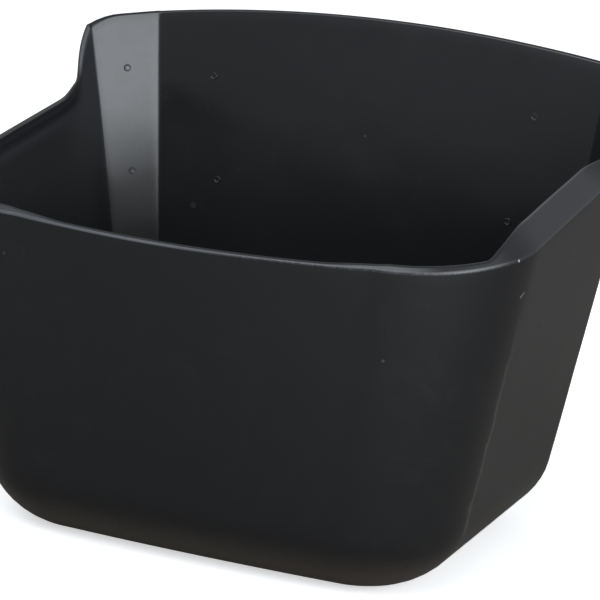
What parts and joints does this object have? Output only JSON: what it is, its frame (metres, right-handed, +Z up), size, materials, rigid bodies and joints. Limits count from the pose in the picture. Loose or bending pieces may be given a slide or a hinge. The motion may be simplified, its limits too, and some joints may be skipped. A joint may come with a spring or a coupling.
{
  "type": "feed tub",
  "caption": "Open moulded plastic feed tub for livestock: deep rounded front, folded-in side rims that climb to a high arched back, angled rear corner facets and plugged fixing holes.",
  "frame": {"origin": "middle of the tub's length and width at floor level, on the ground plane under its flat bottom", "axes": "+X across the tub towards its right side seen from the front, +Y towards the high back, +Z up"},
  "size_m": [0.699, 0.5202, 0.5535],
  "materials": {
    "black_polyethylene": "satin black moulded polyethylene",
    "black_nylon": "smooth black nylon"
  },
  "bodies": {
    "tub": {"tub_shell": "black_polyethylene"},
    "plug_back_upper_left": {"plug_back_upper_left": "black_nylon"},
    "plug_back_upper_right": {"plug_back_upper_right": "black_nylon"},
    "plug_back_lower_left": {"plug_back_lower_left": "black_nylon"},
    "plug_back_lower_right": {"plug_back_lower_right": "black_nylon"},
    "plug_corner_upper_left": {"plug_corner_upper_left": "black_nylon"},
    "plug_corner_upper_right": {"plug_corner_upper_right": "black_nylon"},
    "plug_corner_lower_left": {"plug_corner_lower_left": "black_nylon"},
    "plug_corner_lower_right": {"plug_corner_lower_right": "black_nylon"}
  },
  "joints": [
    {"name": "plug_back_upper_left_pull", "type": "slide", "parent": "tub", "child": "plug_back_upper_left", "axis": [0, -0.9985, 0.0547], "range_m": [0, 0.02]},
    {"name": "plug_back_upper_right_pull", "type": "slide", "parent": "tub", "child": "plug_back_upper_right", "axis": [0, -0.9985, 0.0547], "range_m": [0, 0.02]},
    {"name": "plug_back_lower_left_pull", "type": "slide", "parent": "tub", "child": "plug_back_lower_left", "axis": [0, -0.9985, 0.0547], "range_m": [0, 0.02]},
    {"name": "plug_back_lower_right_pull", "type": "slide", "parent": "tub", "child": "plug_back_lower_right", "axis": [0, -0.9985, 0.0547], "range_m": [0, 0.02]},
    {"name": "plug_corner_upper_left_pull", "type": "slide", "parent": "tub", "child": "plug_corner_upper_left", "axis": [0.7031, -0.7031, 0.1065], "range_m": [0, 0.02]},
    {"name": "plug_corner_upper_right_pull", "type": "slide", "parent": "tub", "child": "plug_corner_upper_right", "axis": [-0.7031, -0.7031, 0.1065], "range_m": [0, 0.02]},
    {"name": "plug_corner_lower_left_pull", "type": "slide", "parent": "tub", "child": "plug_corner_lower_left", "axis": [0.7031, -0.7031, 0.1065], "range_m": [0, 0.02]},
    {"name": "plug_corner_lower_right_pull", "type": "slide", "parent": "tub", "child": "plug_corner_lower_right", "axis": [-0.7031, -0.7031, 0.1065], "range_m": [0, 0.02]}
  ]
}
